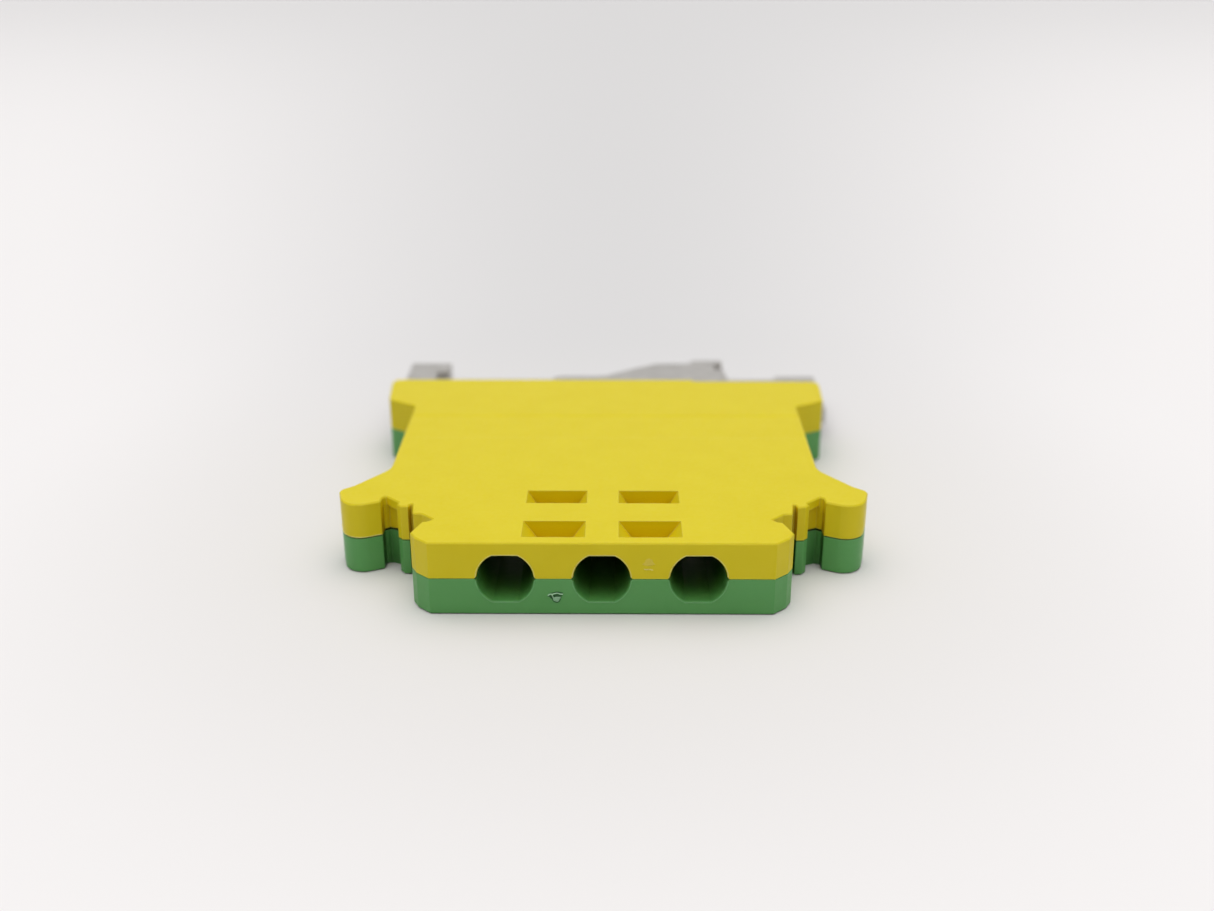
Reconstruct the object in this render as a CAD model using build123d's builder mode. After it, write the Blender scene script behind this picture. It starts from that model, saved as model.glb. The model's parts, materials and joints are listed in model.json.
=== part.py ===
import os

from build123d import *

# Protective-earth terminal block for a 35 mm top-hat rail, lying on its side.
#   +X  along the wires, from the left clamp to the right clamp
#   +Y  from the screw face towards the rail
#   +Z  across the thickness, green half below and yellow half above
# Origin: middle of the length, in the plane where the rail flanges seat, on the parting plane.
# Plan positions are given as (x, depth), where depth is counted from the screw face.

# --- driving dimensions, mm ---
thickness = 6.15            # both mouldings together
front_to_rail = 39.3        # screw face to rail seat
far_edge = 35.4             # screw face to the far edge of the mouldings
relief = 0.4                # how far the far edge stands back over the jaw
relief_start = 8.6
clamp_x = 7.34              # screw pitch, centre to clamp
rail_half_width = 17.6      # half of a 35 mm rail, with 0.1 mm play
rail_slot = 2.43            # gap between rail seat and hook lip
jaw_travel = 1.5            # open to gripped

half = thickness / 2
skin = 0.675                # thinnest moulded wall, over the cages
deep = half - skin          # half height of the deepest pockets
edge_break = 0.12           # moulded edge on the broad faces
seam_break = 0.05           # moulded edge along the parting line

channel_radius = 2.17       # screwdriver channels, round with two flats
channel_flat = 1.94
rim = 0.08
seam_nick = 0.27            # both halves are nicked where a channel crosses the parting line
seam_nick_length = 2.0
throat_radius = 1.8         # lip that keeps each screw head in
chamber_radius = 2.1
clamp_throat = 7.6          # depth of the lip over the clamp screws
foot_throat = 13.3          # depth of the lip over the foot screw
throat_length = 0.8

screw_radius = 1.5          # M3
thread_play = 0.05
head_radius = 1.95
head_height = 2.2
slot_width = 0.8
slot_depth = 1.1
screw_point = 0.3           # bevel at the tip
clamp_head = 8.5            # depth of the clamp screw heads
foot_head = 15.0            # depth of the foot screw head
foot_screw_tip = 35.2

bar_near = 17.2             # face of the current bar under the screws
bar_thickness = 1.2
bar_far = bar_near + bar_thickness
bar_half_length = 10.9
tongue_half_width = 1.45
pad_half_length = 3.3
pad_half_width = 2.3
groove_pitch = 1.2

cage_half_length = 2.7
cage_half_height = 2.3
cage_wall = 0.7
collar = 2.6                # threaded top of the cage
cage_near = 14.4
window_near = cage_near + collar
window_far = 22.0
cage_far = 23.0
cage_bend = 0.6
chamber_near = 11.0         # the cage chamber, in which the cage rises until it meets the head
chamber_play = 0.25

side_wall = 17.95           # outer face of the wire sides
beyond = 22.0               # clear of the mouldings on either side, for cutting blocks
over = 1.0                  # how far cutting blocks overshoot what they cut
wire_radius = 2.0           # moulded wire entry
wire_depth = (bar_far + window_far) / 2
wire_entry_inner = 10.0     # where the entry meets the cage chamber
funnel_start = 16.7
funnel_growth = 0.75

plate_near = 0.05           # the two foot plates lie either side of the parting plane
plate_far = 1.675
pin_radius = 0.9
pin_depth = 34.6
pin_xs = (8.0, 14.6)
pin_play = 0.05

nut_top = 31.2
nut_bottom = 34.6
nut_left = -2.4             # left end of the nut's top, where the 45 degree flank starts
nut_right = 2.5
nut_half_height = 2.2
window_bottom = 35.9
leg_inner = 1.9
leg_outer = 3.3
leg_end = 29.6
shoulder = 31.1             # top edge of the foot plates inside the mouldings
neck = 35.5                 # where the plates widen outside the mouldings
hook_outer = 20.55
hook_lip = 16.4
hook_tip = 44.1
jaw_outer = 22.0            # the jaw, open
jaw_lip = 17.8
jaw_tip = 44.85

pocket_inner, pocket_outer = 1.25, 6.12         # recesses in the broad faces, across x
pocket_depth = 1.6
pocket_rows = ((0.96, 3.72, 1.2), (6.91, 9.26, 1.0))    # depth from and to, lean of the end walls

peg_radius = 0.9
peg_length = 1.3
peg_play = 0.03
peg_places = ((12.6, 9.9), (14.5, 25.6))

# Core-outs that keep the moulded walls even: x from and to, depth from and to, on both sides.
core_outs = ((11.4, 16.6, 12.8, 16.7), (6.9, 12.4, 24.4, 28.0), (10.5, 12.1, 1.6, 7.6))
core_out_half_height = 2.2

marking_field = (20.4, 26.0)        # near and far depth
marking_field_depth = 0.06
marking_field_ramp = 0.35

# Places where the two halves stand a little apart: the ears, and the groove beside each ear,
# which is also hollowed out behind its pillar, below a thin lid.
ear_gap = 0.09
ear_gap_start = 14.7                # from this x outwards
ear_reach = (4.5, 11.0)             # near and far depth
groove_gap = 0.2
groove_sides = (16.3, 17.75)        # inner and outer x
groove_reach = (7.0, 8.6)
groove_lid = 0.8
groove_hollow = [(16.35, 7.0), (17.5, 8.2), (17.3, 8.35), (15.9, 7.75), (15.8, 7.15)]


# --- helpers ---
def behind(points):
    """Points given as (x, depth behind the screw face), in the part's own x and y."""
    return [(x, depth - front_to_rail) for x, depth in points]


def section(depth):
    """The plane across the block at a depth, drawn in x and z; deeper is its minus direction."""
    return Plane.XZ.offset(front_to_rail - depth)


def block(x_low, x_high, near, far, z_low, z_high, mode=Mode.ADD):
    """A box between two x, two depths and two heights."""
    centre = ((x_low + x_high) / 2, (near + far) / 2 - front_to_rail, (z_low + z_high) / 2)
    with Locations(centre):
        Box(x_high - x_low, far - near, z_high - z_low, mode=mode)


def plate(points, z_low, z_high, mode=Mode.ADD):
    """A flat piece from its plan outline."""
    with BuildSketch(Plane.XY.offset(z_low)) as plan:
        with BuildLine():
            Polyline(*behind(points), close=True)
        make_face()
    extrude(plan.sketch, amount=z_high - z_low, mode=mode)


def rod(x, near, far, radius, mode=Mode.ADD):
    """A round bar or hole along the screw direction."""
    with BuildSketch(section(near)) as end:
        with Locations((x, 0)):
            Circle(radius)
    extrude(end.sketch, amount=near - far, mode=mode)


# --- outline shared by the two mouldings ---
# One side from the screw face to the flange over the foot: front corner, V groove, a fin and a
# pillar with a slot between them for the marker, ear, wire side. The flange's two ends differ.
outline = [
    (13.15, 0), (14.17, 0.9), (14.62, 1.75), (13.98, 3.55), (13.6, 3.65), (13.15, 4.05),
    (14.15, 5.0), (14.87, 5.1), (14.98, 5.7), (15.12, 6.8), (15.3, 6.8), (15.47, 6.3), (16.05, 6.35),
    (16.4, 6.75), (16.24, 7.05), (17.45, 8.2), (17.72, 8.05), (17.8, 7.2), (20.57, 5.95), (21.5, 9.3),
    (20.45, 10.2), (side_wall, 13.6), (side_wall, 28.2),
]
left_flange = [(-20.72, 30.0), (-21.2, far_edge)]
right_flange = [
    (20.72, 29.7), (21.0, far_edge - relief), (relief_start, far_edge - relief), (relief_start, far_edge),
]
rounded_corners = (
    ((20.57, 5.95), 1.6), ((21.5, 9.3), 0.6), ((20.45, 10.2), 0.8), ((side_wall, 13.6), 2.8),
)
flange_corners = (
    (left_flange[0], 0.5), (left_flange[1], 0.9), (right_flange[0], 0.5), (right_flange[1], 0.9),
)

with BuildSketch() as shell_profile:
    with BuildLine():
        other_side = [(-x, depth) for x, depth in outline]
        Polyline(*behind(outline + right_flange + left_flange[::-1] + other_side[::-1]), close=True)
    make_face()
    mirrored_corners = tuple(((-x, depth), radius) for (x, depth), radius in rounded_corners)
    for corner, radius in rounded_corners + mirrored_corners + flange_corners:
        place = (*behind([corner])[0], 0)
        fillet(shell_profile.vertices().sort_by_distance(place)[0], radius)


# --- space inside the mouldings, the same in both halves ---
def channel_face(x, depth, grow):
    """Cross-section of a screwdriver channel: a circle cut by two flats."""
    with BuildSketch(section(depth)) as face:
        with Locations((x, 0)):
            Circle(channel_radius + grow)
            Rectangle(3 * channel_radius, 2 * (channel_flat + grow), mode=Mode.INTERSECT)
    return face.sketch


def channel(x, throat):
    """Screwdriver channel with its bevelled rim, retaining lip and head chamber mouth."""
    extrude(channel_face(x, 0, 0), amount=-throat)
    loft([channel_face(x, -rim, 2 * rim), channel_face(x, rim, 0)])
    with BuildSketch(section(-rim)) as nicks:
        with Locations((x - channel_radius, 0), (x + channel_radius, 0)):
            Rectangle(seam_nick, seam_nick, rotation=45)
    extrude(nicks.sketch, amount=-seam_nick_length)
    rod(x, throat - 0.01, throat + throat_length, throat_radius)


with BuildPart() as hollows:
    for x in (-clamp_x, clamp_x):
        channel(x, clamp_throat)
        rod(x, clamp_throat + throat_length, chamber_near + 0.05, chamber_radius)
        reach = cage_half_length + chamber_play
        block(x - reach, x + reach, chamber_near, cage_far + chamber_play, -deep, deep)
    channel(0, foot_throat)
    rod(0, foot_throat + throat_length, bar_near, chamber_radius)
    # Bar: thin along the tongues, full width under the foot screw.
    block(-bar_half_length - 0.1, bar_half_length + 0.1, bar_near - 0.05, bar_far + 0.05, -1.55, 1.55)
    block(-pad_half_length - 0.15, pad_half_length + 0.15, bar_near - 0.05, 20.7, -deep, deep)
    # Foot plates and the post that joins them to the bar.
    plate(
        [
            (-3.45, 20.0), (3.45, 20.0), (3.45, 25.4), (6.6, 29.45), (8.3, 29.45), (9.8, 30.95),
            (20.2, 30.95), (20.2, 36.0), (-19.35, 36.0), (-19.35, 30.95), (-8.15, 30.95),
            (-6.6, 29.45), (-3.45, 25.4),
        ],
        -1.75,
        1.75,
    )
    block(-6.1, 2.7, 29.4, 34.8, -nut_half_height - 0.1, nut_half_height + 0.1)
    # Wire entries: a round hole with a rounded funnel at its mouth.
    axis_y = wire_depth - front_to_rail
    wall_y = axis_y + wire_radius
    mouth_y = wall_y + funnel_growth
    for side in (-1, 1):
        inner, start, bend, mouth = (
            side * x for x in (wire_entry_inner, funnel_start, funnel_start + 0.8, side_wall + 0.2)
        )
        with BuildSketch():
            with BuildLine():
                Polyline(
                    (mouth, mouth_y), (mouth, axis_y), (inner, axis_y), (inner, wall_y), (start, wall_y)
                )
                ThreePointArc((start, wall_y), (bend, wall_y + 0.2), (mouth, mouth_y))
            make_face()
        revolve(axis=Axis((0, axis_y, 0), (1, 0, 0)))
    for side in (-1, 1):
        for x_inner, x_outer, near, far in core_outs:
            low, high = sorted((side * x_inner, side * x_outer))
            block(low, high, near, far, -core_out_half_height, core_out_half_height)


# --- mouldings ---
def shell_body(z_low):
    """One solid half with its broken edges, before the inside is taken out."""
    with BuildSketch(Plane.XY.offset(z_low)) as plan:
        add(shell_profile.sketch)
    extrude(plan.sketch, amount=half)


def face_pockets(sign):
    """Four tapered recesses in a broad face, between the screwdriver channels."""
    middle = (pocket_inner + pocket_outer) / 2
    width = pocket_outer - pocket_inner
    for near, far, lean in pocket_rows:
        for x in (-middle, middle):
            ends = []
            for height, inset in ((half + 0.001, 0), (half - pocket_depth, lean)):
                with BuildSketch(Plane.XY.offset(sign * height)) as end:
                    with Locations((x, (near + far) / 2 - front_to_rail)):
                        Rectangle(width - 2 * inset, far - near - 0.1 * inset)
                ends.append(end.sketch)
            loft(ends, mode=Mode.SUBTRACT)


def groove_hollows(z_low, z_high):
    """The groove beside each ear, hollowed out behind its pillar."""
    for side in (-1, 1):
        plate([(side * x, depth) for x, depth in groove_hollow], z_low, z_high, mode=Mode.SUBTRACT)


with BuildPart() as green_shell:
    shell_body(-half)
    chamfer(green_shell.faces().sort_by(Axis.Z)[0].edges(), edge_break)
    chamfer(green_shell.faces().sort_by(Axis.Z)[-1].edges(), seam_break)
    add(hollows.part, mode=Mode.SUBTRACT)
    face_pockets(-1)
    groove_hollows(-half - over, over)
    with BuildSketch(Plane.XY.offset(-peg_length - 0.1)):
        for x, depth in peg_places:
            with Locations(*behind([(-x, depth), (x, depth)])):
                Circle(peg_radius + peg_play)
    extrude(amount=peg_length + 0.1, mode=Mode.SUBTRACT)
green_shell.part.label = "green_shell"

with BuildPart() as yellow_shell:
    shell_body(0)
    chamfer(yellow_shell.faces().sort_by(Axis.Z)[-1].edges(), edge_break)
    chamfer(yellow_shell.faces().sort_by(Axis.Z)[0].edges(), seam_break)
    add(hollows.part, mode=Mode.SUBTRACT)
    face_pockets(1)
    groove_hollows(-over, half - groove_lid)
    for side in (-1, 1):
        low, high = sorted((side * ear_gap_start, side * beyond))
        block(low, high, *ear_reach, -over, ear_gap, mode=Mode.SUBTRACT)
        low, high = sorted(side * x for x in groove_sides)
        block(low, high, *groove_reach, -over, groove_gap, mode=Mode.SUBTRACT)
    # Blank marking field across the waist, sunk a little into the broad face, its far end a ramp.
    near, far = (depth - front_to_rail for depth in marking_field)
    floor_height = half - marking_field_depth
    with BuildSketch(Plane.YZ.offset(-beyond)):
        with BuildLine():
            Polyline(
                (near, half + over), (near, floor_height), (far - marking_field_ramp, floor_height),
                (far, half), (far, half + over), close=True,
            )
        make_face()
    extrude(amount=2 * beyond, mode=Mode.SUBTRACT)
    with BuildSketch(Plane.XY.offset(-peg_length)):
        for x, depth in peg_places:
            with Locations(*behind([(-x, depth), (x, depth)])):
                Circle(peg_radius)
    extrude(amount=peg_length)
yellow_shell.part.label = "yellow_shell"


# --- current path ---
with BuildPart() as current_bar:
    with BuildSketch(section(bar_near)):
        Rectangle(2 * bar_half_length, 2 * tongue_half_width)
        Rectangle(2 * pad_half_length, 2 * pad_half_width)
        Circle(screw_radius + 0.1, mode=Mode.SUBTRACT)
    extrude(amount=-bar_thickness)
    # Cross grooves on the wire side of each tongue.
    for middle in (-clamp_x, clamp_x):
        for x in (middle - groove_pitch, middle, middle + groove_pitch):
            block(x - 0.2, x + 0.2, bar_far - 0.15, bar_far + over, -2, 2, mode=Mode.SUBTRACT)
current_bar.part.label = "current_bar"


def clamp_cage(x, label):
    """Rising cage: a folded loop round the bar and the wire, threaded at its top."""
    inner = cage_half_height - cage_wall
    ends = (x - cage_half_length, x + cage_half_length)
    with BuildPart() as cage:
        block(*ends, cage_near, cage_far, -cage_half_height, cage_half_height)
        block(x - 5, x + 5, window_near, window_far, -inner, inner, mode=Mode.SUBTRACT)
        for along in (0, -1):
            fillet(cage.edges().filter_by(Axis.X).group_by(Axis.Y)[along], cage_bend)
        rod(x, cage_near - over, window_near + over, screw_radius + thread_play, mode=Mode.SUBTRACT)
    cage.part.label = label
    return cage.part


def slotted_screw(x, head, tip, label):
    """Cheese-head screw along the depth, its driving slot across x."""
    under_head = head + head_height
    with BuildPart() as screw:
        rod(x, head, under_head, head_radius)
        rod(x, under_head, tip, screw_radius)
        chamfer(screw.faces().sort_by(Axis.Y)[-1].edges(), screw_point)
        reach = 1.5 * head_radius
        block(
            x - reach, x + reach, head - over, head + slot_depth, -slot_width / 2, slot_width / 2,
            mode=Mode.SUBTRACT,
        )
    screw.part.label = label
    return screw.part


left_clamp_cage = clamp_cage(-clamp_x, "left_clamp_cage")
right_clamp_cage = clamp_cage(clamp_x, "right_clamp_cage")
left_clamp_screw = slotted_screw(-clamp_x, clamp_head, bar_near - 0.05, "left_clamp_screw")
right_clamp_screw = slotted_screw(clamp_x, clamp_head, bar_near - 0.05, "right_clamp_screw")
foot_screw = slotted_screw(0, foot_head, foot_screw_tip, "foot_screw")


# --- rail foot ---
# The nut's flank is the line x + depth = flank; the jaw follows it, and the fixed plate's
# window stays clear of it when the nut is drawn up.
flank = nut_left + nut_top
jaw_flank = flank - 0.07
window_flank = flank - jaw_travel - 0.42

left_hook = [
    (-19.2, neck), (-hook_outer, neck), (-hook_outer, hook_tip), (-hook_lip, hook_tip),
    (-hook_lip, front_to_rail + rail_slot + 0.15), (-hook_lip - 0.15, front_to_rail + rail_slot),
    (-rail_half_width, front_to_rail + rail_slot), (-rail_half_width, front_to_rail),
]
centre_hook = [
    (-5.6, front_to_rail), (-5.2, 40.2), (-0.2, 40.35), (2.4, 42.3), (5.2, 44.1), (8.9, 44.2),
    (8.9, 45.1), (12.15, 45.1), (12.15, 44.1), (11.2, 44.1), (11.2, 42.3), (12.15, 42.3),
    (12.45, front_to_rail),
]

with BuildPart() as foot_base:
    # Yoke under the bar.
    block(-leg_outer, leg_outer, bar_far, 20.6, -pad_half_width, pad_half_width)
    # Upper plate: two legs, the nut window, the left hook and the hook for the narrow rail.
    plate(
        [
            (-leg_inner, 20.6), (-leg_outer, 20.6), (-leg_outer, 25.5), (-6.5, leg_end),
            (-8.0, shoulder), (-19.2, shoulder),
        ]
        + left_hook
        + centre_hook
        + [
            (17.3, front_to_rail), (17.3, shoulder), (8.0, shoulder), (6.5, leg_end), (leg_outer, 25.5),
            (leg_outer, 20.6), (leg_inner, 20.6), (leg_inner, leg_end), (nut_right + 0.05, leg_end),
            (nut_right + 0.05, window_bottom), (window_flank - window_bottom, window_bottom),
            (window_flank - leg_end, leg_end), (-leg_inner, leg_end),
        ],
        plate_near,
        plate_far,
    )
    # The legs and the left hook are as thick as both plates together.
    for low in (-leg_outer, leg_inner):
        block(low, low + leg_outer - leg_inner, 20.6, leg_end, -plate_far, plate_near)
    plate(
        [(-19.2, shoulder)] + left_hook + [(-11.2, front_to_rail), (-11.2, shoulder)],
        -plate_far,
        plate_near,
    )
    rod(0, bar_far - over, 21.0, screw_radius + 0.15, mode=Mode.SUBTRACT)
    with BuildSketch(Plane.XY.offset(plate_near)):
        with Locations(*behind([(x, pin_depth) for x in pin_xs])):
            Circle(pin_radius)
    extrude(amount=plate_far - plate_near, mode=Mode.SUBTRACT)
foot_base.part.label = "foot_base"

with BuildPart() as jaw_guide_pins:
    with BuildSketch(Plane.XY.offset(-plate_far)):
        with Locations(*behind([(x, pin_depth) for x in pin_xs])):
            Circle(pin_radius)
    extrude(amount=2 * plate_far)
jaw_guide_pins.part.label = "jaw_guide_pins"

with BuildPart() as rail_jaw:
    open_half_width = rail_half_width + jaw_travel
    plate(
        [
            (-8.6, 31.0), (jaw_flank - 31.0, 31.0), (jaw_flank - window_bottom, window_bottom),
            (4.3, window_bottom), (4.3, 29.7), (8.1, 29.7), (9.6, shoulder + 0.1), (20.0, shoulder + 0.1),
            (20.0, neck), (jaw_outer, neck), (jaw_outer, jaw_tip),
            (jaw_lip, jaw_tip), (jaw_lip, front_to_rail + rail_slot),
            (open_half_width, front_to_rail + rail_slot), (open_half_width, front_to_rail - 0.05),
            (-8.6, front_to_rail - 0.05),
        ],
        -plate_far,
        -plate_near,
    )
    with BuildSketch(Plane.XY.offset(-plate_far)):
        with Locations(*behind([(x + jaw_travel / 2, pin_depth) for x in pin_xs])):
            SlotCenterToCenter(jaw_travel, 2 * (pin_radius + pin_play))
    extrude(amount=plate_far - plate_near, mode=Mode.SUBTRACT)
rail_jaw.part.label = "rail_jaw"

with BuildPart() as wedge_nut:
    plate(
        [
            (nut_left, nut_top), (nut_right, nut_top), (nut_right, nut_bottom),
            (flank - nut_bottom, nut_bottom),
        ],
        -nut_half_height,
        nut_half_height,
    )
    rod(0, nut_top - over, nut_bottom + over, screw_radius + thread_play, mode=Mode.SUBTRACT)
wedge_nut.part.label = "wedge_nut"


os.makedirs("parts", exist_ok=True)
for piece in (
    green_shell.part,
    yellow_shell.part,
    current_bar.part,
    left_clamp_cage,
    right_clamp_cage,
    left_clamp_screw,
    right_clamp_screw,
    foot_screw,
    foot_base.part,
    jaw_guide_pins.part,
    rail_jaw.part,
    wedge_nut.part,
):
    export_step(piece, f"parts/{piece.label}.step")
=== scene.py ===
import json
import math

import bmesh
import bpy
from mathutils import Matrix, Vector, noise


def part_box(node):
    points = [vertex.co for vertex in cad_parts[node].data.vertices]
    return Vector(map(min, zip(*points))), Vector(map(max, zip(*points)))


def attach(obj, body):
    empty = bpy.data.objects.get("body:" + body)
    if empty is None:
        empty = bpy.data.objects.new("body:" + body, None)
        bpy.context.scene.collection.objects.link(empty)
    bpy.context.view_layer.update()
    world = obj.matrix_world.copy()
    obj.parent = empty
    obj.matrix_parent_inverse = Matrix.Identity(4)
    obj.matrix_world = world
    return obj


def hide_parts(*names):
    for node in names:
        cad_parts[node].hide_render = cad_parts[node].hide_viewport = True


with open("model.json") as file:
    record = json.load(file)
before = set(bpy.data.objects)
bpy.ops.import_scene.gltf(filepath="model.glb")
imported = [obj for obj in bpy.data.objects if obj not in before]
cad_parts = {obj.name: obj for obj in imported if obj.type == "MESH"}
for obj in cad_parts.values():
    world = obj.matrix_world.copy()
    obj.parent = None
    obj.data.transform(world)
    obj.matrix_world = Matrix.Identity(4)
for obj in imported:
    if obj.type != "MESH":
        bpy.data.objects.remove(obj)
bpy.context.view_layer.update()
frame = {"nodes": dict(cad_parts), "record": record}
nodes = frame["nodes"]

MM = 0.001
FRONT = -39.3       # y of the screw face, mm
HALF = 3.075        # half thickness, mm
CLAMP_X = 7.34      # screw pitch, mm


# --- materials ---
def new_material(name):
    """A material with a Principled shader; returns it, its node adder, its links and the shader."""
    material = bpy.data.materials.new(name)
    material.use_nodes = True
    tree = material.node_tree
    shader = tree.nodes["Principled BSDF"]

    def add(kind, **inputs):
        node = tree.nodes.new(kind)
        for key, value in inputs.items():
            node.inputs[key.replace("_", " ")].default_value = value
        return node

    return material, add, tree.links.new, shader


def speckle(add, link, coords, scale, detail=3.0, low=0.0, high=1.0):
    """Noise stretched to a range from low to high."""
    pattern = add("ShaderNodeTexNoise", Scale=scale, Detail=detail, Roughness=0.55)
    link(coords, pattern.inputs["Vector"])
    ramp = add("ShaderNodeMapRange")
    ramp.inputs["From Min"].default_value = 0.3
    ramp.inputs["From Max"].default_value = 0.7
    ramp.inputs["To Min"].default_value = low
    ramp.inputs["To Max"].default_value = high
    link(pattern.outputs["Fac"], ramp.inputs["Value"])
    return ramp.outputs["Result"]


def blend_colours(add, link, first, second, factor):
    """A colour mix; each colour is a value or an output."""
    mix = add("ShaderNodeMix")
    mix.data_type = "RGBA"
    for name, colour in (("A", first), ("B", second)):
        if isinstance(colour, tuple):
            mix.inputs[name].default_value = (*colour, 1)
        else:
            link(colour, mix.inputs[name])
    link(factor, mix.inputs["Factor"])
    return mix.outputs["Result"]


EDGE_STARTS, EDGE_FULL = 0.97, 0.80     # cosine between a face and its softened normal
PLASTIC_EDGE, METAL_EDGE = 0.0001, 0.00008      # radius of a softened edge, m
PLASTIC_BUMP, METAL_BUMP = 0.12, 0.15
PLASTIC_PAINTED_HIGHLIGHT, METAL_PAINTED_HIGHLIGHT = 0.7, 0.6     # how much of the painted edge highlight shows on an edge
BUMP_HEIGHT = 0.00001                   # m
NODE_SAMPLES = 8


def soft_edges(add, link, shader, radius, height, strength):
    """Softened edges with a fine bump on top; returns a mask that is 1 on sharp edges."""
    edge = add("ShaderNodeBevel", Radius=radius)
    edge.samples = NODE_SAMPLES
    bump = add("ShaderNodeBump", Strength=strength, Distance=BUMP_HEIGHT)
    link(edge.outputs["Normal"], bump.inputs["Normal"])
    link(height, bump.inputs["Height"])
    link(bump.outputs["Normal"], shader.inputs["Normal"])
    flat = add("ShaderNodeNewGeometry")
    dot = add("ShaderNodeVectorMath")
    dot.operation = "DOT_PRODUCT"
    link(edge.outputs["Normal"], dot.inputs[0])
    link(flat.outputs["Normal"], dot.inputs[1])
    mask = add("ShaderNodeMapRange")
    mask.inputs["From Min"].default_value = EDGE_STARTS
    mask.inputs["From Max"].default_value = EDGE_FULL
    link(dot.outputs["Value"], mask.inputs["Value"])
    return mask.outputs["Result"]


def scaled(add, link, value, factor):
    """A value times a factor."""
    times = add("ShaderNodeMath")
    times.operation = "MULTIPLY"
    link(value, times.inputs[0])
    times.inputs[1].default_value = factor
    return times.outputs["Value"]


OPEN_REACH = 0.006                  # how far a face looks round for others that shut it in, m
RECESS_SHADING_LIMITS = (0.30, 0.60)          # share of open sky at which the painted recess shading is full, and gone
HOLE_SHADE_LIMITS = (0.11, 0.34)          # the same for the painted shade far inside holes


def openness(add, link, shut, clear):
    """A mask that is 0 far inside holes and slots and 1 on open faces; it places painted shade."""
    around = add("ShaderNodeAmbientOcclusion", Distance=OPEN_REACH)
    around.samples = NODE_SAMPLES
    mask = add("ShaderNodeMapRange")
    mask.inputs["From Min"].default_value = shut
    mask.inputs["From Max"].default_value = clear
    link(around.outputs["AO"], mask.inputs["Value"])
    return mask.outputs["Result"]


def polyamide(name, colour, mottle, painted_edge_highlight, painted_recess_shading, painted_hole_shade, glow, specular):
    """Moulded polyamide: satin, a little translucent, with painted highlights on edges and painted
    shade in holes.

    The colours are the open face, its mottle, the painted edge highlight, painted shading in
    shallow recesses and painted shade far inside holes.
    """
    material, add, link, shader = new_material(name)
    coords = add("ShaderNodeTexCoord").outputs["Object"]
    clouds = speckle(add, link, coords, 420, 4.0, 0.0, 0.6)
    open_face = blend_colours(add, link, colour, mottle, clouds)
    # Painted shading: a tinted colour in recesses and a dark one far inside holes, where little sky
    # reaches.
    body = blend_colours(add, link, painted_recess_shading, open_face, openness(add, link, *RECESS_SHADING_LIMITS))
    body = blend_colours(add, link, painted_hole_shade, body, openness(add, link, *HOLE_SHADE_LIMITS))
    fine = speckle(add, link, coords, 9000, 2.0)
    edges = soft_edges(add, link, shader, PLASTIC_EDGE, fine, PLASTIC_BUMP)
    # Painted highlight: a paler colour mixed in along sharp edges.
    body = blend_colours(add, link, body, painted_edge_highlight, scaled(add, link, edges, PLASTIC_PAINTED_HIGHLIGHT))
    link(body, shader.inputs["Base Color"])
    link(speckle(add, link, coords, 2600, 3.0, 0.36, 0.50), shader.inputs["Roughness"])
    shader.inputs["Subsurface Weight"].default_value = 0.12
    shader.inputs["Subsurface Radius"].default_value = glow
    shader.inputs["Subsurface Scale"].default_value = 0.0006
    shader.inputs["IOR"].default_value = 1.5
    shader.inputs["Specular IOR Level"].default_value = specular
    return material


def metal(name, colour, dull, roughness, grain, stretch=(1, 1, 1), metallic=1.0):
    """Plated metal with a faint mottle, fine grain along the working direction and painted
    highlights on edges.
    """
    material, add, link, shader = new_material(name)
    coords = add("ShaderNodeTexCoord").outputs["Object"]
    mapping = add("ShaderNodeMapping")
    mapping.inputs["Scale"].default_value = stretch
    link(coords, mapping.inputs["Vector"])
    vector = mapping.outputs["Vector"]
    body = blend_colours(add, link, colour, dull, speckle(add, link, coords, 700, 5.0))
    fine = speckle(add, link, vector, grain * 2, 3.0)
    edges = soft_edges(add, link, shader, METAL_EDGE, fine, METAL_BUMP)
    # Painted highlight: a brighter copy of the colour mixed in along sharp edges.
    bright = tuple(min(1, 1.15 * value) for value in colour)
    body = blend_colours(add, link, body, bright, scaled(add, link, edges, METAL_PAINTED_HIGHLIGHT))
    link(body, shader.inputs["Base Color"])
    shader.inputs["Metallic"].default_value = metallic
    polish = speckle(add, link, vector, grain, 4.0, roughness - 0.08, roughness + 0.08)
    link(polish, shader.inputs["Roughness"])
    return material


# Polyamide colours: face, mottle, painted edge highlight, painted recess shading, painted hole
# shade.
yellow = polyamide(
    "yellow_polyamide", (0.675, 0.555, 0.004), (0.705, 0.59, 0.012), (0.86, 0.79, 0.20),
    (0.80, 0.61, 0.0), (0.40, 0.25, 0.0), (1.0, 0.7, 0.05), 0.24,
)
green = polyamide(
    "green_polyamide", (0.088, 0.315, 0.078), (0.100, 0.338, 0.094), (0.25, 0.52, 0.24),
    (0.088, 0.315, 0.070), (0.014, 0.08, 0.005), (0.2, 1.0, 0.3), 0.42,
)
# Pale yellow: torn plastic at the gate sill, and painted highlight on the upper hole lips and the
# ear flash.
pale_yellow = polyamide(
    "torn_yellow_and_painted_highlight", (0.78, 0.69, 0.12), (0.86, 0.79, 0.30), (0.88, 0.82, 0.45),
    (0.74, 0.64, 0.10), (0.60, 0.50, 0.05), (1.0, 0.7, 0.3), 0.5,
)
dull_yellow = polyamide(
    "scuffed_yellow", (0.68, 0.54, 0.045), (0.74, 0.60, 0.09), (0.76, 0.64, 0.12),
    (0.66, 0.52, 0.04), (0.50, 0.40, 0.02), (1.0, 0.7, 0.3), 0.3,
)
pale_green = polyamide(
    "torn_green", (0.42, 0.76, 0.44), (0.56, 0.86, 0.58), (0.60, 0.88, 0.62),
    (0.40, 0.72, 0.42), (0.10, 0.30, 0.12), (0.5, 1.0, 0.5), 0.5,
)
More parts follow.
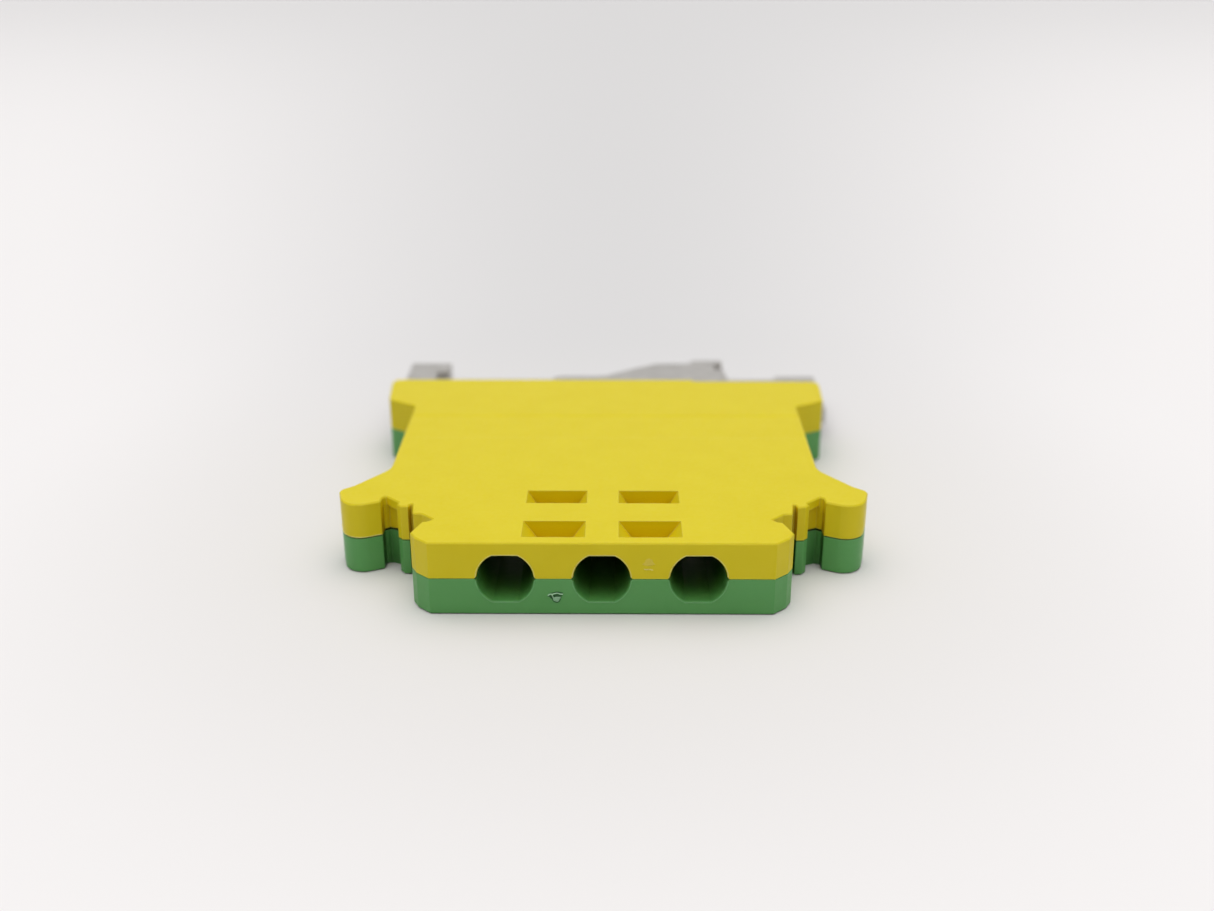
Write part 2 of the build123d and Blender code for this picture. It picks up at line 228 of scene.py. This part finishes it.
dull_green = polyamide(
    "scuffed_green", (0.24, 0.47, 0.27), (0.36, 0.58, 0.38), (0.40, 0.62, 0.42),
    (0.22, 0.44, 0.24), (0.06, 0.20, 0.08), (0.5, 1.0, 0.5), 0.5,
)
# Paler green of the lower hole lips: painted highlight on the lip.
lip_green_painted_highlight = polyamide(
    "lip_green_painted_highlight", (0.13, 0.38, 0.13), (0.17, 0.44, 0.17), (0.22, 0.50, 0.22),
    (0.12, 0.36, 0.11), (0.04, 0.18, 0.04), (0.2, 1.0, 0.3), 0.42,
)
bruised_green = polyamide(
    "bruised_green", (0.012, 0.085, 0.018), (0.03, 0.14, 0.035), (0.04, 0.18, 0.05),
    (0.012, 0.08, 0.015), (0.01, 0.06, 0.01), (0.2, 1.0, 0.3), 0.3,
)
foot_metal = metal(
    "matt_zinc", (0.57, 0.555, 0.53), (0.49, 0.475, 0.455), 0.50, 5000, metallic=0.75
)
plated = metal("zinc_plated_strip", (0.66, 0.66, 0.65), (0.56, 0.56, 0.55), 0.34, 4000, (0.3, 1, 1))
screw_steel = metal("bright_zinc_plated", (0.72, 0.72, 0.71), (0.62, 0.62, 0.61), 0.26, 6000)
tinned = metal("tin_plate", (0.80, 0.79, 0.75), (0.70, 0.69, 0.66), 0.30, 4000, (0.25, 1, 1))

finish = {
    "yellow_shell": yellow, "green_shell": green, "foot_base": foot_metal, "rail_jaw": foot_metal,
    "current_bar": tinned, "left_clamp_cage": plated, "right_clamp_cage": plated,
    "wedge_nut": plated, "jaw_guide_pins": screw_steel, "left_clamp_screw": screw_steel,
    "right_clamp_screw": screw_steel, "foot_screw": screw_steel,
}
slots = {row["node"]: row["material_slot"] for row in frame["record"]["subparts"]}
for name, node in nodes.items():
    node.data.materials.clear()
    node.data.materials.append(finish[name])


# --- finished pieces ---
def piece(name, mesh, body, material, slot, *replaced):
    """A named piece that rides on a body and may stand for CAD nodes."""
    made = bpy.data.objects.new(name, mesh)
    bpy.context.scene.collection.objects.link(made)
    mesh.materials.append(material)
    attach(made, body)
    if replaced:
        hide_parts(*replaced)


def smooth_by_angle(mesh, degrees):
    """Smooth shading everywhere but on edges sharper than an angle."""
    mesh.shade_smooth()
    mesh.set_sharp_from_angle(angle=math.radians(degrees))


KEEP_BELOW = math.radians(25)       # edges flatter than this are left as they are
SAME_PLACE = 0.000002               # corners closer than this are one, m
FLAT = math.radians(0.5)            # faces closer to level than this are merged


def refine(node_name, body, edge_radius):
    """A copy of a CAD node: faces merged, edges rounded, faces of many corners cut to triangles."""
    shape = bmesh.new()
    shape.from_mesh(nodes[node_name].data)
    bmesh.ops.remove_doubles(shape, verts=shape.verts, dist=SAME_PLACE)
    bmesh.ops.dissolve_limit(
        shape, angle_limit=FLAT, verts=shape.verts, edges=shape.edges,
    )
    sharp = [
        edge for edge in shape.edges
        if len(edge.link_faces) == 2 and edge.calc_face_angle(0) > KEEP_BELOW
    ]
    bmesh.ops.bevel(
        shape, geom=sharp, offset=edge_radius, offset_type="OFFSET", segments=2,
        profile=0.5, affect="EDGES", clamp_overlap=True,
    )
    bmesh.ops.triangulate(shape, faces=[face for face in shape.faces if len(face.verts) > 4])
    mesh = bpy.data.meshes.new(node_name + "_finished")
    shape.to_mesh(mesh)
    shape.free()
    smooth_by_angle(mesh, 40)
    piece(node_name + "_finished", mesh, body, finish[node_name], slots[node_name], node_name)


def cut(target, cutter):
    """The target's mesh with the cutter's taken away; the cutter is removed."""
    change = target.modifiers.new("cut", "BOOLEAN")
    change.operation = "DIFFERENCE"
    change.solver = "EXACT"
    change.object = cutter
    graph = bpy.context.evaluated_depsgraph_get()
    mesh = bpy.data.meshes.new_from_object(target.evaluated_get(graph))
    bpy.data.objects.remove(target)
    bpy.data.objects.remove(cutter)
    return mesh


def loose(name, verts, faces):
    """An object used while building, in millimetres turned to metres."""
    mesh = bpy.data.meshes.new(name)
    mesh.from_pydata([Vector(v) * MM for v in verts], [], faces)
    made = bpy.data.objects.new(name, mesh)
    bpy.context.scene.collection.objects.link(made)
    return made


def turned(rows, around, x_mid):
    """Vertices and faces of a closed turned shape along y; each row is (y, radius function)."""
    verts = [(x_mid, rows[0][0], 0)]
    for y, radius in rows:
        for i in range(around):
            angle = 2 * math.pi * i / around
            r = radius(angle)
            verts.append((x_mid + r * math.sin(angle), y, r * math.cos(angle)))
    verts.append((x_mid, rows[-1][0], 0))
    faces = []
    last = len(verts) - 1
    for i in range(around):
        j = (i + 1) % around
        faces.append((0, 1 + j, 1 + i))
        for k in range(len(rows) - 1):
            a, b = 1 + k * around, 1 + (k + 1) * around
            faces.append((a + i, a + j, b + j, b + i))
        base = 1 + (len(rows) - 1) * around
        faces.append((last, base + i, base + j))
    return verts, faces


def brick(x0, x1, y0, y1, z0, z1):
    """Corners and faces of a box used only to cut with."""
    verts = [(x, y, z) for x in (x0, x1) for y in (y0, y1) for z in (z0, z1)]
    faces = [(0, 1, 3, 2), (4, 6, 7, 5), (0, 4, 5, 1), (2, 3, 7, 6), (0, 2, 6, 4), (1, 5, 7, 3)]
    return verts, faces


# M3 slotted screws, mm
PITCH = 0.5
CREST, ROOT, NECK = 1.49, 1.2, 1.22
TIP_RADIUS = 0.6
HEAD_RADIUS, HEAD_HEIGHT = 1.95, 2.2
SLOT_HALF, SLOT_DEEP = 0.4, 1.1
RIM_ROUND, RIM_ZONE = 0.04, 0.3     # rounding of the slot's edges, and how deep it goes
THREAD_STEPS = 12       # rings in one turn
AROUND_HEAD, AROUND_THREAD = 64, 48


def thread_radius(y, start, tip):
    """Radius function of a right-hand thread at one height, faded in at the neck and the tip."""
    ramp = min(1, max(0, (y - start) / PITCH))
    limit = 1.15 + max(0, tip - y)

    def radius(angle):
        phase = (y / PITCH - angle / (2 * math.pi)) % 1
        ridge = min(1, max(0, (1 - abs(2 * phase - 1)) * 1.5 - 0.2))
        return min(limit, ROOT + (CREST - ROOT) * ridge * ramp)
    return radius


def threaded_screw(node_name, x_mid):
    """Slotted cheese-head screw with a real thread, in the place of a CAD screw."""
    low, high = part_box(node_name)
    head, tip = low.y / MM, high.y / MM
    under = head + HEAD_HEIGHT
    profile = (
        (head, 1.2), (head, 1.74), (head + 0.06, 1.86), (head + 0.18, HEAD_RADIUS),
        (under - 0.12, HEAD_RADIUS), (under - 0.03, 1.91), (under, 1.82), (under, 1.3),
    )
    rows = [(y, lambda angle, r=r: r) for y, r in profile]
    head_verts, head_faces = turned(rows, AROUND_HEAD, x_mid)
    blank = loose("blank", head_verts, head_faces)
    reach = HEAD_RADIUS + 1
    ends = (x_mid - reach, x_mid + reach, head - 1, head + SLOT_DEEP)
    groove = loose("groove", *brick(*ends, -SLOT_HALF, SLOT_HALF))
    mesh = cut(blank, groove)
    shape = bmesh.new()
    shape.from_mesh(mesh)
    rims = [
        edge for edge in shape.edges
        if len(edge.link_faces) == 2 and edge.calc_face_angle(0) > math.radians(60)
        and max(v.co.y for v in edge.verts) < (head + RIM_ZONE) * MM
    ]
    bmesh.ops.bevel(
        shape, geom=rims, offset=RIM_ROUND * MM, segments=1, affect="EDGES", clamp_overlap=True,
    )
    start = under + 0.25
    steps = int((tip - start) / PITCH * THREAD_STEPS)
    rows = [(under - 0.2, lambda angle: 1.25), (start, lambda angle: NECK)]
    for k in range(1, steps + 1):
        y = start + (tip - start) * k / steps
        rows.append((y, thread_radius(y, start, tip)))
    rows.append((tip, lambda angle: TIP_RADIUS))
    verts, faces = turned(rows, AROUND_THREAD, x_mid)
    made = [shape.verts.new(Vector(v) * MM) for v in verts]
    for face in faces:
        shape.faces.new([made[i] for i in face])
    bmesh.ops.recalc_face_normals(shape, faces=shape.faces)
    shape.to_mesh(mesh)
    shape.free()
    smooth_by_angle(mesh, 38)
    piece(node_name + "_threaded", mesh, node_name, screw_steel, "screw_steel", node_name)


threaded_screw("left_clamp_screw", -CLAMP_X)
threaded_screw("right_clamp_screw", CLAMP_X)
threaded_screw("foot_screw", 0)
refine("foot_base", "housing", 0.00009)
refine("rail_jaw", "rail_jaw", 0.00009)
refine("wedge_nut", "wedge_nut", 0.00012)
refine("current_bar", "housing", 0.00006)
refine("jaw_guide_pins", "housing", 0.00008)


def closed_piece(name, shape, smooth_below, material, slot):
    """A piece on the housing from a closed shape, its faces turned outwards."""
    bmesh.ops.recalc_face_normals(shape, faces=shape.faces)
    mesh = bpy.data.meshes.new(name)
    shape.to_mesh(mesh)
    shape.free()
    smooth_by_angle(mesh, smooth_below)
    piece(name, mesh, "housing", material, slot)


BEAD_SIDES = 8
BEAD_SWELL = 0.35       # how much a bead's radius wanders


def bead(name, path, radius, material, slot):
    """A thin round thread of plastic along a path in millimetres, with closed ends."""
    points = [Vector(point) for point in path]
    shape = bmesh.new()
    rings = []
    for i, point in enumerate(points):
        along = (points[min(i + 1, len(points) - 1)] - points[max(i - 1, 0)]).normalized()
        aside = Vector((0, 0, 1)) if abs(along.z) < 0.9 else Vector((0, 1, 0))
        across = along.cross(aside).normalized()
        upward = across.cross(along)
        ring = []
        for k in range(BEAD_SIDES):
            angle = 2 * math.pi * k / BEAD_SIDES
            swell = radius * (1 + BEAD_SWELL * noise.noise(2.5 * point))
            corner = point + swell * (math.cos(angle) * across + math.sin(angle) * upward)
            ring.append(shape.verts.new(corner * MM))
        rings.append(ring)
    for first, second in zip(rings, rings[1:]):
        for k in range(BEAD_SIDES):
            j = (k + 1) % BEAD_SIDES
            shape.faces.new((first[k], first[j], second[j], second[k]))
    shape.faces.new(rings[0][::-1])
    shape.faces.new(rings[-1])
    closed_piece(name, shape, 60, material, slot)


HOLE_RADIUS, HOLE_FLAT = 2.25, 2.02     # at the screw face, mm
LIP_STEPS, LIP_END, LIP_RADIUS, LIP_SUNK = 40, 0.07, 0.034, 0.012


def hole_lip(name, x_mid, side, material, slot):
    """The fine raised lip round half of a screwdriver hole; side is 1 above, -1 below."""
    path = []
    for i in range(LIP_STEPS + 1):
        angle = LIP_END + (math.pi - 2 * LIP_END) * i / LIP_STEPS
        height = min(HOLE_FLAT, HOLE_RADIUS * math.sin(angle))
        path.append((x_mid + HOLE_RADIUS * math.cos(angle), FRONT + LIP_SUNK, side * height))
    bead(name, path, LIP_RADIUS, material, slot)


PLUG_RINGS, PLUG_STEPS = 7, 4       # rings, and steps between outline points
PLUG_ROOT = 0.12                    # how far a plug's back lies behind its rim


def torn_plug(name, middle, outline, rise, raggedness, material, slot):
    """The rest of a gate broken off the screw face: a ragged closed button, given in x and z."""
    rim = []
    for (x, z), (next_x, next_z) in zip(outline, outline[1:] + outline[:1]):
        for k in range(PLUG_STEPS):
            t = k / PLUG_STEPS
            rim.append((x + t * (next_x - x), z + t * (next_z - z)))
    shape = bmesh.new()
    centre = shape.verts.new(Vector((middle[0], FRONT - rise, middle[1])) * MM)
    inner = None
    for k in range(1, PLUG_RINGS + 1):
        reach = k / PLUG_RINGS
        fall = 1 - reach ** 4
        ring = []
        for x, z in rim:
            ragged = 1 + 0.10 * noise.noise(Vector((x, z, middle[0])) * 5)
            x, z = middle[0] + x * reach * ragged, middle[1] + z * reach * ragged
            lift = rise * fall + raggedness * fall * noise.noise(Vector((x, z, 0)) * 6)
            ring.append(shape.verts.new(Vector((x, FRONT - max(-0.02, lift), z)) * MM))
        for i in range(len(rim)):
            j = (i + 1) % len(rim)
            if inner is None:
                shape.faces.new((centre, ring[i], ring[j]))
            else:
                shape.faces.new((inner[i], ring[i], ring[j], inner[j]))
        inner = ring
    back = [shape.verts.new(v.co + Vector((0, PLUG_ROOT * MM, 0))) for v in inner]
    for i in range(len(rim)):
        j = (i + 1) % len(rim)
        shape.faces.new((inner[i], back[i], back[j], inner[j]))
    shape.faces.new(back)
    closed_piece(name, shape, 50, material, slot)


def across_face(middle, steps, lift):
    """A path over the screw face from steps in x and z."""
    return [(middle[0] + x, FRONT - lift, middle[1] + z) for x, z in steps]


def gate_scars():
    """The torn gates: a curled strip over a plug in the green half, a low stub in the yellow."""
    middle = (-3.48, -1.51)
    bruise = [
        (-0.68, 0.02), (-0.52, 0.28), (-0.28, 0.36), (0.0, 0.44), (0.24, 0.44), (0.48, 0.33),
        (0.56, 0.16), (0.43, 0.04), (0.41, -0.12), (0.3, -0.44), (0.06, -0.56), (-0.2, -0.5),
        (-0.37, -0.2), (-0.5, -0.02),
    ]
    torn_plug("green_gate_bruise", middle, bruise, 0.008, 0.0, bruised_green, "green_polyamide")
    plug = [
        (-0.33, -0.09), (-0.09, -0.04), (0.05, 0.01), (0.21, -0.04), (0.37, -0.01), (0.35, -0.14),
        (0.26, -0.29), (0.23, -0.41), (0.05, -0.45), (-0.18, -0.41), (-0.26, -0.28),
    ]
    torn_plug("green_gate_plug", middle, plug, 0.04, 0.05, dull_green, "green_polyamide")
    curl = [
        (-0.62, 0.09), (-0.52, 0.18), (-0.42, 0.22), (-0.28, 0.2), (-0.18, 0.23), (-0.08, 0.27),
        (0.08, 0.3), (0.2, 0.27), (0.32, 0.22), (0.52, 0.21),
    ]
    bead("green_gate_curl", across_face(middle, curl, 0.01), 0.042, pale_green, "green_polyamide")
    tail = [(-0.31, 0.18), (-0.28, 0.08), (-0.25, -0.02), (-0.17, -0.11)]
    bead("green_gate_tail", across_face(middle, tail, 0.015), 0.04, pale_green, "green_polyamide")
    middle = (3.47, 1.27)
    stub = [
        (-0.12, 0.43), (0.1, 0.5), (0.32, 0.42), (0.38, 0.2), (0.56, 0.02), (0.3, -0.08),
        (0.05, -0.12), (-0.2, -0.08), (-0.42, 0.0), (-0.22, 0.18), (-0.18, 0.34),
    ]
    torn_plug("yellow_gate_stub", middle, stub, 0.03, 0.03, dull_yellow, "yellow_polyamide")
    sill = [(-0.27, -0.4), (-0.1, -0.42), (0.1, -0.41), (0.25, -0.43), (0.39, -0.47)]
    path = across_face(middle, sill, 0.012)
    bead("yellow_gate_sill", path, 0.035, pale_yellow, "yellow_polyamide")


def outline_at(node_name, height):
    """Closed loops of points, mm, where a CAD node is cut by a level plane."""
    shape = bmesh.new()
    shape.from_mesh(nodes[node_name].data)
    bmesh.ops.remove_doubles(shape, verts=shape.verts, dist=SAME_PLACE)
    cut_edges = bmesh.ops.bisect_plane(
        shape, geom=shape.verts[:] + shape.edges[:] + shape.faces[:], dist=1e-7,
        plane_co=(0, 0, height * MM), plane_no=(0, 0, 1), clear_inner=True, clear_outer=True,
    )["geom_cut"]
    links = {}
    for edge in cut_edges:
        if isinstance(edge, bmesh.types.BMEdge):
            first, second = edge.verts
            links.setdefault(first, []).append(second)
            links.setdefault(second, []).append(first)
    loops = []
    unseen = set(links)
    for start in sorted(links, key=lambda v: (v.co.x, v.co.y)):
        if start not in unseen:
            continue
        loop, here = [], start
        while here is not None:
            unseen.discard(here)
            loop.append(tuple(here.co / MM))
            here = next((v for v in links[here] if v in unseen), None)
        loops.append(loop)
    shape.free()
    return loops


EAR_SIDE, EAR_NEAR, EAR_FAR = -17.75, 4, 9      # where the flash runs: x beyond, depth between
EAR_MIDDLE = (-19.6, 8.5)                       # x and depth of a point inside the left ear
FLASH_HEIGHT, FLASH_RADIUS = 0.13, 0.035


def ear_flash():
    """A fine thread of flash along the upper half's parting edge, round the left ear."""
    outer = max(outline_at("yellow_shell", 0.2), key=len)
    chosen = [
        point for point in outer
        if point[0] < EAR_SIDE and EAR_NEAR < point[1] - FRONT < EAR_FAR
    ]
    chosen.sort(
        key=lambda point: math.atan2(point[1] - FRONT - EAR_MIDDLE[1], EAR_MIDDLE[0] - point[0])
    )
    path = [(x, y, FLASH_HEIGHT) for x, y, z in chosen]
    # The flash is real; its pale colour is partly painted highlight.
    bead("left_ear_flash", path, FLASH_RADIUS, pale_yellow, "yellow_polyamide")


# The lips are real raised flash; their paler colours are painted highlight.
for label, x in (("left", -CLAMP_X), ("middle", 0), ("right", CLAMP_X)):
    hole_lip(label + "_hole_upper_lip", x, 1, pale_yellow, "yellow_polyamide")
    hole_lip(label + "_hole_lower_lip", x, -1, lip_green_painted_highlight, "green_polyamide")
gate_scars()
ear_flash()


# --- floor, light and camera ---
FLOOR_REACH = 3.0                           # m
NEAR_MIDDLE, NEAR_X, NEAR_Y = -0.02, 0.045, 0.05    # the oval of painted shadow round the block, m
NEAR_FADE = (1.35, 0.45)                    # where it fades out and is full, in its own radii
BAND_START = -0.15                          # y where the strip of painted shade behind the block would close, m
BAND_SIDE_FADE = (0.42, 0.0)                # x over distance from there
BAND_FRONT_FADE = (-0.03, 0.03)             # y, m
FAR_FADE = (0.10, 0.55)                     # y, m
# Sheet colours: plain, painted shadow round the block, painted shade far off and in the strip
# behind it.
SHEET, SHEET_PAINTED_SHADOW, SHEET_FAR_PAINTED_SHADE = (0.835, 0.82, 0.82), (0.735, 0.72, 0.71), (0.72, 0.71, 0.712)
SHEET_STRIP_PAINTED_SHADE = (0.66, 0.655, 0.657)


def plain_floor():
    """A wide pale sheet with a painted shadow round the block, and painted shade in a broad strip
    behind it and far off.
    """
    mesh = bpy.data.meshes.new("floor")
    corners = [(x, y, 0) for x, y in ((-1, -1), (1, -1), (1, 1), (-1, 1))]
    mesh.from_pydata([FLOOR_REACH * Vector(corner) for corner in corners], [], [(0, 1, 2, 3)])
    floor = bpy.data.objects.new("floor", mesh)
    bpy.context.scene.collection.objects.link(floor)
    floor.location.z = -HALF * MM
    material, add, link, shader = new_material("pale_sheet")
    parts = add("ShaderNodeSeparateXYZ")
    link(add("ShaderNodeTexCoord").outputs["Object"], parts.inputs["Vector"])

    def step(value, start, end):
        """0 before the start and 1 past the end, eased between."""
        ramp = add("ShaderNodeMapRange")
        ramp.interpolation_type = "SMOOTHSTEP"
        ramp.inputs["From Min"].default_value = start
        ramp.inputs["From Max"].default_value = end
        link(value, ramp.inputs["Value"])
        return ramp.outputs["Result"]

    def calculate(kind, first, second):
        """One operation on two values; each is a number or an output."""
        node = add("ShaderNodeMath")
        node.operation = kind
        for value, socket in ((first, node.inputs[0]), (second, node.inputs[1])):
            if isinstance(value, float):
                socket.default_value = value
            else:
                link(value, socket)
        return node.outputs["Value"]

    x, y = parts.outputs["X"], parts.outputs["Y"]
    squares = []
    for value, reach in ((x, NEAR_X), (calculate("ADD", y, -NEAR_MIDDLE), NEAR_Y)):
        size = calculate("ABSOLUTE", calculate("DIVIDE", value, reach), 0.0)
        squares.append(calculate("POWER", size, 2.0))
    shadow_nearness = step(calculate("SQRT", calculate("ADD", *squares), 0.0), *NEAR_FADE)
    away = calculate("ADD", y, -BAND_START)
    spread = calculate("ABSOLUTE", calculate("DIVIDE", x, away), 0.0)
    shade_strip = calculate("MULTIPLY", step(spread, *BAND_SIDE_FADE), step(y, *BAND_FRONT_FADE))
    sheet = blend_colours(add, link, SHEET, SHEET_PAINTED_SHADOW, shadow_nearness)
    sheet = blend_colours(add, link, sheet, SHEET_FAR_PAINTED_SHADE, step(y, *FAR_FADE))
    colour = blend_colours(add, link, sheet, SHEET_STRIP_PAINTED_SHADE, shade_strip)
    link(colour, shader.inputs["Base Color"])
    shader.inputs["Roughness"].default_value = 0.8
    shader.inputs["Specular IOR Level"].default_value = 0.2
    mesh.materials.append(material)


SKY_LOW, SKY_HIGH = 0.12, 2.44          # strength at the horizon and overhead
SKY_MIRRORED, SKY_SEEN = 0.7, 0.85      # strength for reflections and for the camera
SKY_FALL = 3                            # power of the height by which it dims
SKY_COLOUR = (1.0, 0.99, 0.985, 1)
LAMP_SIDE, LAMP_WATTS, LAMP_HEIGHT = 1.2, 2.0, 1.5


def soft_sky():
    """A white diffusing tent: bright overhead, dim at the sides, pale where the camera sees it."""
    world = bpy.data.worlds.new("soft_tent")
    world.use_nodes = True
    tree = world.node_tree
    background = tree.nodes["Background"]
    coords = tree.nodes.new("ShaderNodeTexCoord")
    parts = tree.nodes.new("ShaderNodeSeparateXYZ")
    tree.links.new(coords.outputs["Generated"], parts.inputs["Vector"])
    rise = tree.nodes.new("ShaderNodeMath")
    rise.operation = "POWER"
    rise.use_clamp = True
    tree.links.new(parts.outputs["Z"], rise.inputs[0])
    rise.inputs[1].default_value = SKY_FALL
    level = tree.nodes.new("ShaderNodeMapRange")
    level.inputs["To Min"].default_value = SKY_LOW
    level.inputs["To Max"].default_value = SKY_HIGH
    tree.links.new(rise.outputs["Value"], level.inputs["Value"])
    ray = tree.nodes.new("ShaderNodeLightPath")
    strength = level.outputs["Result"]
    for kind, value in (("Is Glossy Ray", SKY_MIRRORED), ("Is Camera Ray", SKY_SEEN)):
        choice = tree.nodes.new("ShaderNodeMix")
        tree.links.new(ray.outputs[kind], choice.inputs["Factor"])
        tree.links.new(strength, choice.inputs["A"])
        choice.inputs["B"].default_value = value
        strength = choice.outputs["Result"]
    tree.links.new(strength, background.inputs["Strength"])
    background.inputs["Color"].default_value = SKY_COLOUR
    bpy.context.scene.world = world


def softbox():
    """A large weak lamp straight overhead."""
    data = bpy.data.lights.new("overhead_softbox", "AREA")
    data.size = LAMP_SIDE
    data.energy = LAMP_WATTS
    lamp = bpy.data.objects.new("overhead_softbox", data)
    bpy.context.scene.collection.objects.link(lamp)
    lamp.location = (0, 0, LAMP_HEIGHT)


plain_floor()
soft_sky()
softbox()

EYE = (1.271, -127.326, 48.451)                         # mm
LOOKS_DOWN, LOOKS_RIGHT, LEANS = 23.478, -0.557, -0.103     # degrees
FOCUS_BEHIND_FACE = 2                                   # mm


def look():
    """The camera: it faces the screw face from above, focused just behind it."""
    camera = bpy.data.cameras.new("camera")
    camera.lens = 39.2
    camera.sensor_width = 36
    camera.clip_start = 0.005
    camera.clip_end = 20
    eye = bpy.data.objects.new("camera", camera)
    bpy.context.scene.collection.objects.link(eye)
    pitch, yaw, roll = (math.radians(a) for a in (LOOKS_DOWN, LOOKS_RIGHT, LEANS))
    forward = Vector((
        math.sin(yaw) * math.cos(pitch), math.cos(yaw) * math.cos(pitch), -math.sin(pitch),
    ))
    level = Vector((math.cos(yaw), -math.sin(yaw), 0))
    up = level.cross(forward)
    right = math.cos(roll) * level + math.sin(roll) * up
    top = -math.sin(roll) * level + math.cos(roll) * up
    turn = Matrix((right, top, -forward)).transposed()
    eye.matrix_world = Matrix.Translation(Vector(EYE) * MM) @ turn.to_4x4()
    bpy.context.scene.camera = eye
    focus = bpy.data.objects.new("focus", None)
    bpy.context.scene.collection.objects.link(focus)
    focus.location = (0, (FRONT + FOCUS_BEHIND_FACE) * MM, 0)
    camera.dof.use_dof = True
    camera.dof.aperture_fstop = 18
    camera.dof.focus_object = focus


look()
bpy.context.scene.view_settings.view_transform = "Standard"
